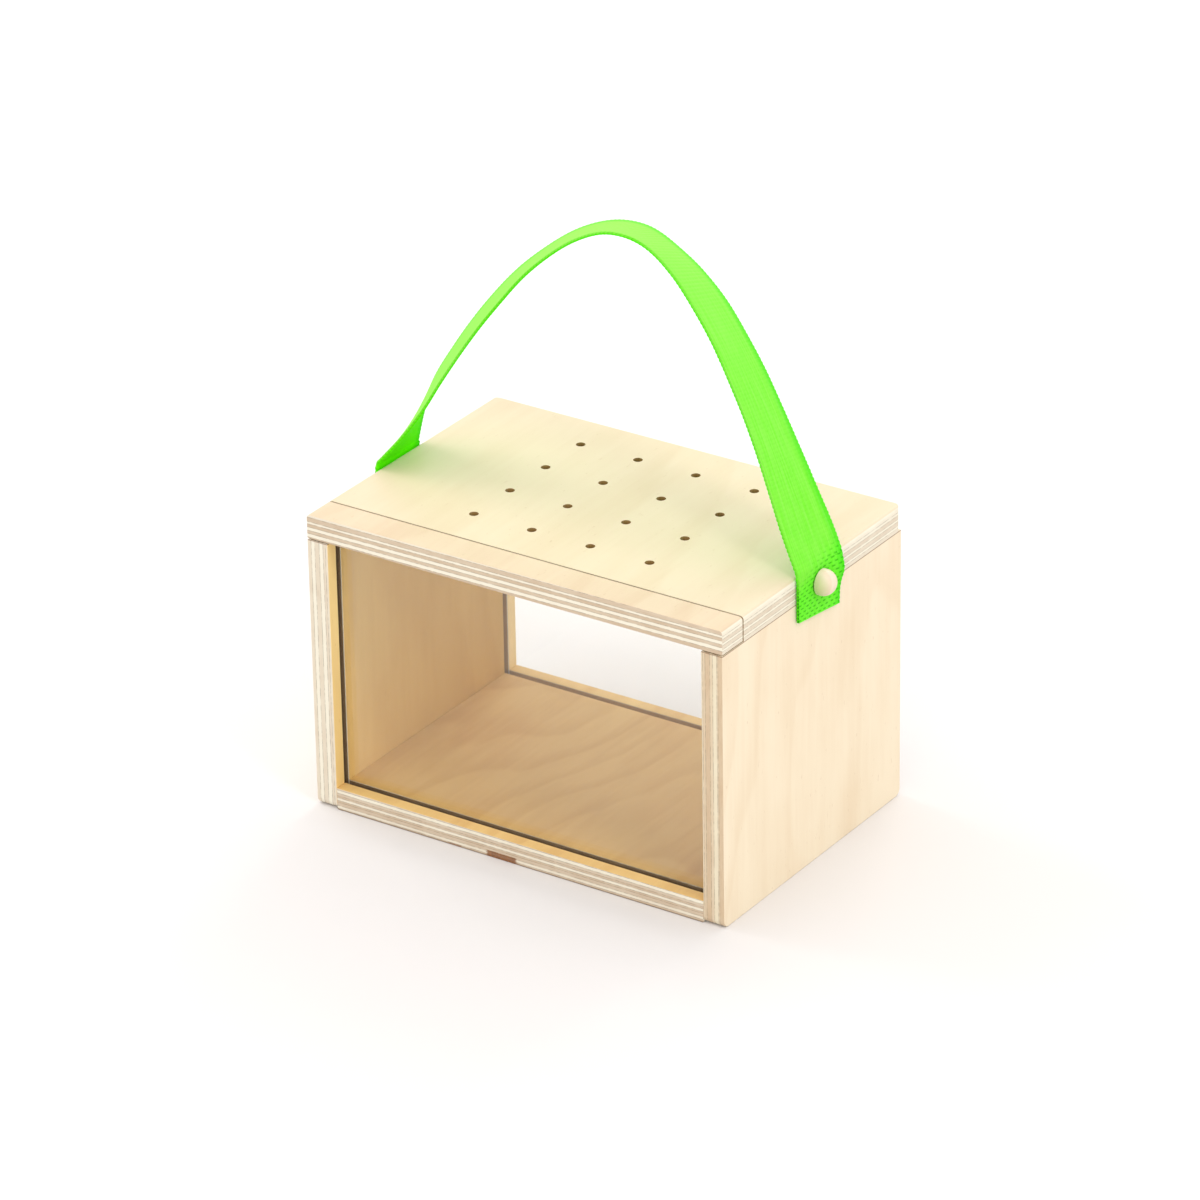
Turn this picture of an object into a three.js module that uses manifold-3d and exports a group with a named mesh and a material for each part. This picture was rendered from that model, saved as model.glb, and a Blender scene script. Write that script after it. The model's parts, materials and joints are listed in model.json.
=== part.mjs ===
// A small plywood box for watching insects, with clear panes at the front and the back.
// Sixteen air holes go through its top board, and a webbing strap pinned to its ends carries it.
// The front bar and the front pane lift straight up out of their grooves: they are the door.
//
// Sizes are in millimetres. X runs along the front, Y from the front to the back, Z up.
// The origin is the middle of the underside.

import * as THREE from 'three';
import { mergeVertices } from 'three/addons/utils/BufferGeometryUtils.js';
import Module from 'manifold-3d';

const wasm = await Module();
wasm.setup();

// Boards
const boxWidth = 180;
const boxDepth = 121;
const sideHeight = 109.5;
const sideThick = 9;
const baseThick = 9;
const topThick = 10;
const barDepth = 13.6;
const barKerf = 0.5;
const cornerRadius = 3;
const endRounding = 1.5;
const easedEdge = 0.4;
const easedCorner = 0.8;

// Panes and their grooves
const paneThick = 2.5;
const paneInset = 6;
const paneFit = 0.3;
const grooveDepth = 3;

// Air holes in the top board
const holeDiameter = 4;
const holeRows = 4;
const holeColumns = 4;
const holePitchX = 25.5;
const holePitchY = 23.3;

// Dowels that hold the boards together
const dowelDiameter = 5;
const dowelFit = 0.3;
const baseDowelLength = 20;
const baseDowelInSide = 5;
const baseDowelSpread = 60;
const topDowelLength = 21;
const topDowelInTop = 6;
const topDowelSpread = 64;

// Strap pegs
const pegSetback = 1.8;
const pegBelowTop = 6;
const shankDiameter = 6;
const shankInBoard = 14;
const headDiameter = 10;
const headHeight = 6.2;
const headRim = 1.2;
const pegFit = 0.3;

// Carrying strap
const strapWidth = 26.8;
const strapThick = 1.3;
const strapFit = 0.3;
const strapSelvedge = 0.4;
const tabBelowPeg = 11.8;
const archAboveTop = 2;
const archRise = 101;
const archRoundness = 1.86;
const archBow = 12.7;
const archSideways = -2.2;
const footBend = 3;
const strapSkew = 1.6;
const strapLean = THREE.MathUtils.degToRad(4.5);

// Turn of the strap's width about its length, at each tenth of the arch from its left foot to its right
const twistDegrees = [0, 23, 20, 15, 4, -17, -21, -14, -10, -3, 0];

// Shared values
const overrun = 1;
const roundSteps = 20;
const headSteps = 32;
const archSteps = 64;
const bendSteps = 4;
const tabSteps = 4;

// Places worked out from the sizes above
const endX = boxWidth / 2;
const innerX = endX - sideThick;
const frontY = -boxDepth / 2;
const backY = boxDepth / 2;
const boxTop = sideHeight + topThick;
const topFrontY = frontY + barDepth + barKerf;
const topMiddleY = (topFrontY + backY) / 2;
const barBackY = frontY + barDepth;
const frontPaneY = frontY + paneInset + paneThick / 2;
const backPaneY = backY - paneInset - paneThick / 2;
const grooveWidth = paneThick + 2 * paneFit;
const grooveFloor = baseThick - grooveDepth;
const grooveCeiling = sideHeight + grooveDepth;
const paneHalfWidth = innerX + grooveDepth - paneFit;
const pegY = pegSetback;
const pegZ = boxTop - pegBelowTop;

const birch = new THREE.MeshStandardMaterial({ color: 0xf0dcb8, roughness: 0.55, metalness: 0 });
const birchBar = new THREE.MeshStandardMaterial({ color: 0xefd3ae, roughness: 0.55, metalness: 0 });
const turnedWood = new THREE.MeshStandardMaterial({ color: 0xf1dcc0, roughness: 0.5, metalness: 0 });
const dowelWood = new THREE.MeshStandardMaterial({ color: 0xd9b98a, roughness: 0.7, metalness: 0 });
const acrylic = new THREE.MeshStandardMaterial({
  color: 0xf4f8f6, roughness: 0.03, metalness: 0, transparent: true, opacity: 0.25,
});
const greenWebbing = new THREE.MeshStandardMaterial({ color: 0x5fd22c, roughness: 0.85, metalness: 0 });

// Turns a geometry into a solid that can be cut and joined
function solidOf(geometry) {
  const bare = geometry.clone();
  bare.deleteAttribute('normal');
  bare.deleteAttribute('uv');
  const merged = mergeVertices(bare);
  return new wasm.Manifold(new wasm.Mesh({
    numProp: 3,
    vertProperties: new Float32Array(merged.attributes.position.array),
    triVerts: new Uint32Array(merged.index.array),
  }));
}

// Turns a solid back into a geometry
function geometryOf(solid) {
  const mesh = solid.getMesh();
  const geometry = new THREE.BufferGeometry();
  geometry.setAttribute('position', new THREE.BufferAttribute(mesh.vertProperties, 3));
  geometry.setIndex(new THREE.BufferAttribute(mesh.triVerts, 1));
  geometry.computeVertexNormals();
  return geometry;
}

function piece(name, solid, material) {
  const mesh = new THREE.Mesh(geometryOf(solid), material.clone());
  mesh.name = name;
  return mesh;
}

// A block between two corners
function block(x0, x1, y0, y1, z0, z1) {
  const geometry = new THREE.BoxGeometry(x1 - x0, y1 - y0, z1 - z0);
  geometry.translate((x0 + x1) / 2, (y0 + y1) / 2, (z0 + z1) / 2);
  return solidOf(geometry);
}

// A rectangle with its own radius at each corner, in the order low-low, high-low, high-high, low-high
function roundedOutline(u0, u1, v0, v1, [ll, hl, hh, lh]) {
  const shape = new THREE.Shape();
  const quarter = Math.PI / 2;
  shape.absarc(u0 + ll, v0 + ll, ll, Math.PI, Math.PI + quarter);
  shape.absarc(u1 - hl, v0 + hl, hl, -quarter, 0);
  shape.absarc(u1 - hh, v1 - hh, hh, 0, quarter);
  shape.absarc(u0 + lh, v1 - lh, lh, quarter, Math.PI);
  shape.closePath();
  return shape;
}

// A board of a given outline, its faces 'low' and 'high' along the third direction, all edges eased.
// The directions map the outline's two axes and the thickness onto X, Y and Z.
function board(shape, low, high, uAxis, vAxis, wAxis) {
  const geometry = new THREE.ExtrudeGeometry(shape, {
    depth: high - low - 2 * easedEdge,
    bevelEnabled: true,
    bevelThickness: easedEdge,
    bevelSize: easedEdge,
    bevelOffset: -easedEdge,
    bevelSegments: 1,
    curveSegments: 5,
  });
  geometry.translate(0, 0, low + easedEdge);
  geometry.applyMatrix4(new THREE.Matrix4().makeBasis(uAxis, vAxis, wAxis));
  return solidOf(geometry);
}

const xAxis = new THREE.Vector3(1, 0, 0);
const yAxis = new THREE.Vector3(0, 1, 0);
const zAxis = new THREE.Vector3(0, 0, 1);

// A round pin or hole from one end to the other along X
function rodAlongX(x0, x1, y, z, diameter) {
  const geometry = new THREE.CylinderGeometry(diameter / 2, diameter / 2, x1 - x0, roundSteps);
  geometry.rotateZ(-Math.PI / 2);
  geometry.translate((x0 + x1) / 2, y, z);
  return solidOf(geometry);
}

// The same along Z
function rodAlongZ(x, y, z0, z1, diameter) {
  const geometry = new THREE.CylinderGeometry(diameter / 2, diameter / 2, z1 - z0, roundSteps);
  geometry.rotateX(Math.PI / 2);
  geometry.translate(x, y, (z0 + z1) / 2);
  return solidOf(geometry);
}

function cut(solid, tools) {
  return tools.reduce((left, tool) => left.subtract(tool), solid);
}

// Space for a pane, from one end of its grooves to the other
function paneGroove(middleY, z0, z1) {
  const reach = innerX + grooveDepth;
  return block(-reach, reach, middleY - grooveWidth / 2, middleY + grooveWidth / 2, z0, z1);
}

// Dowels lie along X between side and base, and stand along Z between side and top board
const baseDowels = [];
const topDowels = [];
for (const [sideName, side] of [['left', -1], ['right', 1]]) {
  for (const [rowName, row] of [['front', -1], ['back', 1]]) {
    baseDowels.push({ name: `base_dowel_${sideName}_${rowName}`, side, y: (row * baseDowelSpread) / 2 });
    topDowels.push({
      name: `top_dowel_${sideName}_${rowName}`, side, y: topMiddleY + (row * topDowelSpread) / 2,
    });
  }
}

function baseDowel({ side, y }, clearance) {
  const outer = innerX + baseDowelInSide + clearance;
  const inner = innerX + baseDowelInSide - baseDowelLength - clearance;
  const [x0, x1] = side > 0 ? [inner, outer] : [-outer, -inner];
  return rodAlongX(x0, x1, y, baseThick / 2, dowelDiameter + 2 * clearance);
}

function topDowel({ side, y }, clearance) {
  const upper = sideHeight + topDowelInTop + clearance;
  const lower = sideHeight + topDowelInTop - topDowelLength - clearance;
  return rodAlongZ(side * (endX - sideThick / 2), y, lower, upper, dowelDiameter + 2 * clearance);
}

// The side board's lower corners are rounded, and each pane slides in a groove in its inner face
function sideBoard(side) {
  const outline = roundedOutline(frontY, backY, 0, sideHeight, [
    cornerRadius, cornerRadius, easedCorner, easedCorner,
  ]);
  const [x0, x1] = side > 0 ? [innerX, endX] : [-endX, -innerX];
  const blank = board(outline, x0, x1, yAxis, zAxis, xAxis);
  return cut(blank, [
    paneGroove(frontPaneY, grooveFloor, sideHeight + overrun),
    paneGroove(backPaneY, grooveFloor, sideHeight + overrun),
    ...baseDowels.filter((dowel) => dowel.side === side).map((dowel) => baseDowel(dowel, dowelFit)),
    ...topDowels.filter((dowel) => dowel.side === side).map((dowel) => topDowel(dowel, dowelFit)),
  ]);
}

function baseBoard() {
  const outline = roundedOutline(frontY, backY, 0, baseThick, [
    easedCorner, easedCorner, easedCorner, easedCorner,
  ]);
  return cut(board(outline, -innerX, innerX, yAxis, zAxis, xAxis), [
    paneGroove(frontPaneY, grooveFloor, baseThick + overrun),
    paneGroove(backPaneY, grooveFloor, baseThick + overrun),
    ...baseDowels.map((dowel) => baseDowel(dowel, dowelFit)),
  ]);
}

// A lid board is rounded over along both ends of its upper face, and at its back corners in plan
function lidBoard(y0, y1, backRadius) {
  const ends = roundedOutline(-endX, endX, sideHeight, boxTop, [
    easedCorner, easedCorner, endRounding, endRounding,
  ]);
  const plan = roundedOutline(-endX, endX, y0, y1, [
    easedCorner, easedCorner, backRadius, backRadius,
  ]);
  const length = board(ends, -y1, -y0, xAxis, zAxis, yAxis.clone().negate());
  const prism = new THREE.ExtrudeGeometry(plan, { depth: topThick + 2 * overrun, bevelEnabled: false });
  prism.translate(0, 0, sideHeight - overrun);
  return length.intersect(solidOf(prism));
}

function topBoard() {
  const holes = [];
  for (let column = 0; column < holeColumns; column += 1) {
    for (let row = 0; row < holeRows; row += 1) {
      const x = (column - (holeColumns - 1) / 2) * holePitchX;
      const y = topMiddleY + (row - (holeRows - 1) / 2) * holePitchY;
      holes.push(rodAlongZ(x, y, sideHeight - overrun, boxTop + overrun, holeDiameter));
    }
  }
  return cut(lidBoard(topFrontY, backY, cornerRadius), [
    paneGroove(backPaneY, sideHeight - overrun, grooveCeiling),
    ...holes,
    ...topDowels.map((dowel) => topDowel(dowel, dowelFit)),
    ...[-1, 1].map((side) => pegHole(side)),
  ]);
}

function liftBar() {
  return cut(lidBoard(frontY, barBackY, easedCorner), [
    paneGroove(frontPaneY, sideHeight - overrun, grooveCeiling),
  ]);
}

function pane(middleY) {
  return block(
    -paneHalfWidth, paneHalfWidth,
    middleY - paneThick / 2, middleY + paneThick / 2,
    grooveFloor + paneFit, grooveCeiling - paneFit,
  );
}

// The peg's hole in the end of the top board
function pegHole(side) {
  const inner = endX - shankInBoard - pegFit;
  const [x0, x1] = side > 0 ? [inner, endX + overrun] : [-endX - overrun, -inner];
  return rodAlongX(x0, x1, pegY, pegZ, shankDiameter + 2 * pegFit);
}

// A turned peg: a plain shank, and a domed head that holds the strap
function strapPeg(side) {
  const headSeat = endX + 2 * strapFit + strapThick;
  const shankRadius = shankDiameter / 2;
  const headRadius = headDiameter / 2;
  const profile = [
    new THREE.Vector2(0, endX - shankInBoard),
    new THREE.Vector2(shankRadius - easedEdge, endX - shankInBoard),
    new THREE.Vector2(shankRadius, endX - shankInBoard + easedEdge),
    new THREE.Vector2(shankRadius, headSeat),
    new THREE.Vector2(headRadius, headSeat),
  ];
  const domeSteps = 8;
  for (let step = 0; step < domeSteps; step += 1) {
    const angle = ((step / domeSteps) * Math.PI) / 2;
    profile.push(new THREE.Vector2(
      headRadius * Math.cos(angle),
      headSeat + headRim + (headHeight - headRim) * Math.sin(angle),
    ));
  }
  profile.push(new THREE.Vector2(0, headSeat + headHeight));
  const geometry = new THREE.LatheGeometry(profile, headSteps);
  geometry.rotateZ(-Math.PI / 2);
  if (side < 0) {
    geometry.rotateY(Math.PI);
  }
  geometry.translate(0, pegY, pegZ);
  return solidOf(geometry);
}

// The strap's middle line: a tab flat on the side, a bend over the board's end, and the arch.
// It leans back from the pegs, bows back further towards its crown, and lies a little skewed: further
// forward on its left peg than on its right.
const strapX = endX + strapFit + strapThick / 2;
const archFoot = boxTop + archAboveTop;
const tabEnd = pegZ - tabBelowPeg;

function setback(x, z) {
  const height = z - pegZ;
  const bowed = Math.max(height, 0) / (archFoot + archRise - pegZ);
  return (strapSkew * x) / strapX + height * Math.tan(strapLean) + archBow * bowed * bowed;
}

function archPoint(share) {
  const across = -Math.cos(share * Math.PI);
  const height = 1 - Math.abs(across) ** archRoundness;
  return new THREE.Vector2(strapX * across + archSideways * height, archFoot + archRise * height);
}

function strapLine() {
  const left = [];
  const low = archFoot - footBend;
  for (let step = 0; step < tabSteps; step += 1) {
    left.push(new THREE.Vector2(-strapX, tabEnd + ((low - tabEnd) * step) / tabSteps));
  }
  const arch = [];
  for (let step = 0; step <= archSteps; step += 1) {
    const point = archPoint(step / archSteps);
    if (point.y > archFoot + footBend) {
      arch.push(point);
    }
  }
  const right = left.map((point) => new THREE.Vector2(-point.x, point.y)).reverse();
  const bend = (side, archEnd) => new THREE.QuadraticBezierCurve(
    new THREE.Vector2(side * strapX, low), new THREE.Vector2(side * strapX, archFoot), archEnd,
  ).getPoints(bendSteps).slice(0, bendSteps);
  const line = [...left, ...bend(-1, arch[0]), ...arch, ...bend(1, arch[arch.length - 1]).reverse(), ...right];
  return line.map((point) => new THREE.Vector3(point.x, setback(point.x, point.y), point.y));
}

// A smooth curve through the turns at the tenths
const twistCurve = new THREE.SplineCurve(twistDegrees.map((degrees, i) => new THREE.Vector2(i, degrees)));

function twistAt(share) {
  return THREE.MathUtils.degToRad(twistCurve.getPoint(share).y);
}

// A flat section carried along the strap's line, turned by the twist at each station
function strap() {
  const line = strapLine();
  const lengths = [0];
  for (let i = 1; i < line.length; i += 1) {
    lengths.push(lengths[i - 1] + line[i].distanceTo(line[i - 1]));
  }
  const isArch = line.map((point) => point.z > archFoot);
  const archStart = lengths[isArch.indexOf(true)];
  const archEnd = lengths[isArch.lastIndexOf(true)];

  const halfWidth = strapWidth / 2;
  const halfThick = strapThick / 2;
  const section = [
    [-halfWidth, -halfThick + strapSelvedge], [-halfWidth + strapSelvedge, -halfThick],
    [halfWidth - strapSelvedge, -halfThick], [halfWidth, -halfThick + strapSelvedge],
    [halfWidth, halfThick - strapSelvedge], [halfWidth - strapSelvedge, halfThick],
    [-halfWidth + strapSelvedge, halfThick], [-halfWidth, halfThick - strapSelvedge],
  ];
  const positions = [];
  line.forEach((point, i) => {
    const before = line[Math.max(i - 1, 0)];
    const after = line[Math.min(i + 1, line.length - 1)];
    const along = after.clone().sub(before).normalize();
    const flat = yAxis.clone().addScaledVector(along, -along.y).normalize();
    const outward = along.clone().cross(flat);
    const share = THREE.MathUtils.clamp((lengths[i] - archStart) / (archEnd - archStart), 0, 1);
    const turn = twistAt(share);
    const across = flat.clone().multiplyScalar(Math.cos(turn)).addScaledVector(outward, Math.sin(turn));
    const normal = along.clone().cross(across);
    for (const [u, v] of section) {
      const corner = point.clone().addScaledVector(across, u).addScaledVector(normal, v);
      positions.push(corner.x, corner.y, corner.z);
    }
  });

  const sides = section.length;
  const index = [];
  for (let i = 0; i + 1 < line.length; i += 1) {
    for (let j = 0; j < sides; j += 1) {
      const a = i * sides + j;
      const b = i * sides + ((j + 1) % sides);
      index.push(a, b, a + sides, b, b + sides, a + sides);
    }
  }
  const last = (line.length - 1) * sides;
  for (let j = 1; j + 1 < sides; j += 1) {
    index.push(0, j + 1, j, last, last + j, last + j + 1);
  }
  const geometry = new THREE.BufferGeometry();
  geometry.setAttribute('position', new THREE.Float32BufferAttribute(positions, 3));
  geometry.setIndex(index);
  const ribbon = solidOf(geometry);
  const reach = strapX + strapWidth;
  return cut(ribbon, [rodAlongX(-reach, reach, pegY, pegZ, shankDiameter + 2 * pegFit)]);
}

const bugHouse = new THREE.Group();
bugHouse.name = 'bug_house';
bugHouse.add(
  piece('side_left', sideBoard(-1), birch),
  piece('side_right', sideBoard(1), birch),
  piece('base_board', baseBoard(), birch),
  piece('top_board', topBoard(), birch),
  piece('back_pane', pane(backPaneY), acrylic),
  piece('lift_bar', liftBar(), birchBar),
  piece('front_pane', pane(frontPaneY), acrylic),
  piece('strap_peg_left', strapPeg(-1), turnedWood),
  piece('strap_peg_right', strapPeg(1), turnedWood),
  piece('carry_strap', strap(), greenWebbing),
);
for (const dowel of baseDowels) {
  bugHouse.add(piece(dowel.name, baseDowel(dowel, 0), dowelWood));
}
for (const dowel of topDowels) {
  bugHouse.add(piece(dowel.name, topDowel(dowel, 0), dowelWood));
}

export default bugHouse;
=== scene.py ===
import json
import math

import bmesh
import bpy
import numpy as np
from mathutils import Euler, Matrix, Vector


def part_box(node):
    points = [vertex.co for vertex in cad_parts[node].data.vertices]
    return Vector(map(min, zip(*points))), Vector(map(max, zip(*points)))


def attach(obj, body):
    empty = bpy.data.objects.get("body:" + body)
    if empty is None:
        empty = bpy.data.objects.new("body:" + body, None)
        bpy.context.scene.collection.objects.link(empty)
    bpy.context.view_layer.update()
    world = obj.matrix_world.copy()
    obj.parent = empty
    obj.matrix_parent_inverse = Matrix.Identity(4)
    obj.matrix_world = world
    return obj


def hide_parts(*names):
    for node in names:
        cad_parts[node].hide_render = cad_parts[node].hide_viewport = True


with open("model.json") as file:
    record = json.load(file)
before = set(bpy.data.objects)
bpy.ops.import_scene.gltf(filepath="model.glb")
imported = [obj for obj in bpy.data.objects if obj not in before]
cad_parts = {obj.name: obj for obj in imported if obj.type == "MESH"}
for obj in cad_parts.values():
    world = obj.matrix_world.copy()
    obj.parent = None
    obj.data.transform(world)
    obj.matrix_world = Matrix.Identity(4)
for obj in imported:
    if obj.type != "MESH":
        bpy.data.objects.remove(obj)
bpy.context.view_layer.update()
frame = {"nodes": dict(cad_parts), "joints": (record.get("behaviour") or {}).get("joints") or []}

# A small plywood box for watching insects. Lengths are in metres.
# X runs along the front, Y from the front to the back, Z up, with the origin under its middle.

MM = 0.001

# Places that the frame gives
side_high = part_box("side_right")[1]
base_low, base_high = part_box("base_board")
top_low, top_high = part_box("top_board")
bar_low, bar_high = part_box("lift_bar")
front_pane_low, front_pane_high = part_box("front_pane")
back_pane_low, back_pane_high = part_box("back_pane")
peg_low, peg_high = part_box("strap_peg_right")
joints = {joint["name"]: joint for joint in frame["joints"]}
peg_centre = Vector(joints["strap_swing"]["pos_m"])

# Boards
eased_edge = 0.35 * MM
corner_radius = 3 * MM
end_rounding = 1.5 * MM
groove_fit = 0.7 * MM
groove_depth = 3 * MM
bar_lift_gap = 0.45 * MM
overrun = 1 * MM

# Air holes
hole_diameter = 3.6 * MM
hole_pitch_x = 25.5 * MM
hole_pitch_y = 23.3 * MM
hole_columns = 4
hole_rows = 4

# Pegs
shank_diameter = 6 * MM
peg_fit = 0.3 * MM
head_rim = 1.2 * MM

# Strap: its middle line and its twist follow the solid to within about three millimetres, and the outline of
# the strap in the photograph more closely than the solid does
strap_width = 27.3 * MM
strap_thick = 1.3 * MM
strap_fit = 0.3 * MM
tab_below_peg = 12.6 * MM
arch_above_top = 1 * MM
arch_rise = 102.9 * MM
arch_roundness = 1.89
arch_bow = 8.4 * MM
arch_sideways = 0.2 * MM
foot_bend = 1.8 * MM
strap_skew = 1.5 * MM
strap_lean = math.radians(6.2)
tab_lean = math.radians(-0.5)
twist_degrees = (0, 15, 23, 23, 22, 20, 17, 11, 5, -4, -15, -22, -20, -16, -14, -11, -9, -6, -2, 1, 0)

# Weave of the strap
rib_pitch = 1.65 * MM
rib_relief = 0.09 * MM
steps_per_rib = 5
pit_pitch = 3.3 * MM
loop_pitch = 1.65 * MM
loop_relief = 0.26 * MM
selvedge_radius = 0.45 * MM
end_slant = 0.13
end_reach = 14 * MM
curl_height = 1.2 * MM
curl_from_end = 22 * MM
curl_reach = 14 * MM
bulge_height = 1.5 * MM
bulge_from_end = 13 * MM
bulge_reach = 4.5 * MM

# Layers of the boards, from the low side of each board to its high side: thickness in millimetres, and tone,
# which is 0 for bright long grain and 1 for tan end grain. "front" is what faces the front and the back.
lid_layers = {
    "front": ((1.15, 1.0), (1.4, 0.0), (1.25, 0.85), (1.35, 0.0),
              (1.25, 0.95), (0.95, 0.05), (1.7, 0.85), (0.45, 0.2)),
    "ends": ((1.5, 0.3), (1.0, 0.0), (1.6, 0.45), (1.0, 0.0), (1.5, 0.5), (1.2, 0.05), (2.2, 0.1)),
}
left_side_layers = {
    "front": ((1.7, 0.42), (1.6, 0.0), (2.0, 0.42), (1.7, 0.0), (1.1, 0.45), (0.9, 0.3)),
    "ends": ((1.6, 0.1), (1.8, 0.8), (1.4, 0.1), (1.9, 0.8), (2.3, 0.1)),
}
right_side_layers = {
    "front": ((0.7, 0.35), (1.0, 0.6), (2.0, 0.85), (1.2, 0.5), (1.7, 0.1), (0.5, 0.5), (1.9, 0.8)),
    "ends": left_side_layers["ends"],
}
base_layers = {
    "front": ((1.0, 1.0), (1.15, 0.2), (1.35, 0.85), (0.8, 0.95), (1.05, 0.1),
              (0.85, 0.95), (1.1, 0.75), (1.25, 0.05), (0.45, 0.75)),
    "ends": left_side_layers["ends"],
}
bar_slope = 0.0065
base_slope = 0.0036

# Knots in the base board's front edge, in millimetres: place, reach each way, and how dark
base_knots = (
    ((-6.9, -60.5, 1.35), (7.0, 3.0, 1.35), 0.9),
    ((-27.7, -60.5, 0.3), (3.2, 3.0, 0.7), 0.5),
)

# The photograph's view, worked out from its straight edges
camera_azimuth = math.radians(34.115)
camera_elevation = math.radians(26.480)
camera_roll = math.radians(-1.013)
camera_distance = 2.3679
camera_lens = 193.75
camera_target = Vector((-0.0011, -0.00186, 0.08316))

# The white room's brightness, and each soft lamp's name, place, size and power
room_brightness = 1.22
lamp_target = Vector((0, 0, 0.07))
lamps = (
    ("right lamp", (0.95, -0.39, 1.2), 0.25, 3.4),
    ("left lamp", (-1.0, 0.0, 0.95), 0.7, 5),
    ("back lamp", (-0.1, 1.3, 1.1), 0.9, 6.9),
    ("low front lamp", (0.9, -1.6, 0.45), 0.9, 4),
)


def tint(red, green, blue):
    """A colour given as it looks on screen, from 0 to 255, as the linear one that a node takes."""
    def linear(level):
        share = level / 255
        return share / 12.92 if share <= 0.04045 else ((share + 0.055) / 1.055) ** 2.4
    return (linear(red), linear(green), linear(blue), 1)


# Cut wood: long grain and end grain on the edges, and the grooves at the front and at the back, their raw
# wood darkened with painted shade, the front groove most
edge_tones = (tint(226, 219, 200), tint(194, 173, 147))
right_edge_tones = (tint(221, 210, 183), tint(195, 168, 135))
groove_wood_with_painted_shade = (tint(104, 70, 12), tint(180, 130, 60))
drilled_tones = (tint(152, 114, 40),) * 2
knot_tones = (tint(62, 28, 6), tint(160, 96, 34))
pore_tone = tint(176, 148, 120)
fleck_tone = tint(170, 132, 90)
glue_line = tint(112, 94, 76)
joint_shadow = tint(112, 72, 42)
# Painted shade along the base's lowest edge, where it stands on the floor
painted_contact_shade = tint(84, 62, 44)

# Veneer and turned wood, pale and golden, and what the strap's light makes of the pegs' front
side_veneer = (tint(229, 214, 187), tint(213, 187, 151))
# The base's veneer is golden wood deepened with painted shade, since the part of it that shows lies inside
# the box
base_veneer_with_painted_shade = (tint(220, 182, 113), tint(194, 142, 74))
top_veneer = (tint(212, 195, 166), tint(199, 176, 139))
bar_veneer = (tint(209, 188, 159), tint(193, 161, 127))
peg_tones = (tint(224, 208, 184), tint(208, 182, 150))
dowel_tones = (tint(220, 196, 156), tint(200, 168, 120))
peg_front = tint(190, 190, 140)

# Painted light and shade on the veneer inside the box, as what it keeps of its red, green and blue: high at
# the front, low at the back, and on the strip behind the back pane
painted_inside_light_front = (1.24, 1.06, 0.60, 1)
painted_inside_shade_back = (0.94, 0.69, 0.26, 1)
painted_light_behind_back_pane = (1.14, 0.96, 0.6, 1)

# Acrylic
clean_pane = (1, 1, 1, 1)
wiped_pane = (0.96, 0.98, 0.97, 1)
# Painted shade on the sawn edges, standing for the groove wood seen through them
painted_groove_shade_on_pane_edge = tint(206, 150, 60)

# Webbing: one webbing on both faces, with painted light on its outer face and painted shade on its inner
# face, a painted sheen at glancing angles, and painted shade along the rear edge, in the pits and on the
# selvedges at the tabs
painted_shade_inner_yarns = (tint(66, 228, 0), tint(100, 236, 0))
painted_light_outer_yarns = (tint(94, 212, 30), tint(124, 218, 60))
streak_yarn = tint(150, 222, 96)
# Painted sheen at glancing angles
painted_sheen_green = tint(138, 218, 80)
tab_yarn = tint(66, 232, 0)
# Painted shade along the rear edge, where the strap cups
painted_shade_rear_edge = tint(44, 200, 0)
# Painted shade in the pits between the yarns
painted_pit_shade = tint(12, 146, 0)
# Darker selvedge loops, and painted shade along the selvedge on the tabs
selvedge_green_and_painted_tab_shade = tint(12, 104, 0)


# Node helpers

def put(tree, socket, value):
    """Sets an input to a value, or links it to another node's output."""
    if isinstance(value, bpy.types.NodeSocket):
        tree.links.new(value, socket)
    elif value is not None:
        socket.default_value = value


def add(tree, kind, settings=None, **inputs):
    """Adds a node. Each input is named with underscores for spaces."""
    node = tree.nodes.new(kind)
    for name, value in (settings or {}).items():
        setattr(node, name, value)
    for name, value in inputs.items():
        put(tree, node.inputs[name.replace("_", " ")], value)
    return node


def calc(tree, operation, a, b=None, c=None, clamp=False):
    node = tree.nodes.new("ShaderNodeMath")
    node.operation = operation
    node.use_clamp = clamp
    for socket, value in zip(node.inputs, (a, b, c)):
        put(tree, socket, value)
    return node.outputs[0]


def times(tree, a, b, clamp=False):
    return calc(tree, "MULTIPLY", a, b, None, clamp)


def times_plus(tree, a, b, c, clamp=False):
    """a times b, plus c."""
    return calc(tree, "MULTIPLY_ADD", a, b, c, clamp)


def varied(tree, base, source, middle, amount, clamp=False):
    """A base value, and an amount more for each 1 that a source is above its middle."""
    return times_plus(tree, calc(tree, "SUBTRACT", source, middle), amount, base, clamp)


def ripple(tree, distance, pitch, turn):
    """A sine wave that turns through so many radians in each pitch."""
    return calc(tree, "SINE", times(tree, calc(tree, "DIVIDE", distance, pitch), turn))


def vector_calc(tree, operation, a, b=None):
    node = tree.nodes.new("ShaderNodeVectorMath")
    node.operation = operation
    for socket, value in zip(node.inputs, (a, b)):
        put(tree, socket, value)
    return node.outputs["Vector"]


def scaled(tree, vector, factor):
    node = add(tree, "ShaderNodeVectorMath", {"operation": "SCALE"}, Vector=vector, Scale=factor)
    return node.outputs["Vector"]


def axis_part(tree, vector, axis):
    return add(tree, "ShaderNodeSeparateXYZ", Vector=vector).outputs["XYZ".index(axis)]


def blend_colour(tree, factor, a, b, kind="MIX"):
    node = tree.nodes.new("ShaderNodeMix")
    node.data_type = "RGBA"
    node.blend_type = kind
    node.clamp_factor = True
    put(tree, node.inputs[0], factor)
    put(tree, node.inputs[6], a)
    put(tree, node.inputs[7], b)
    return node.outputs[2]


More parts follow.
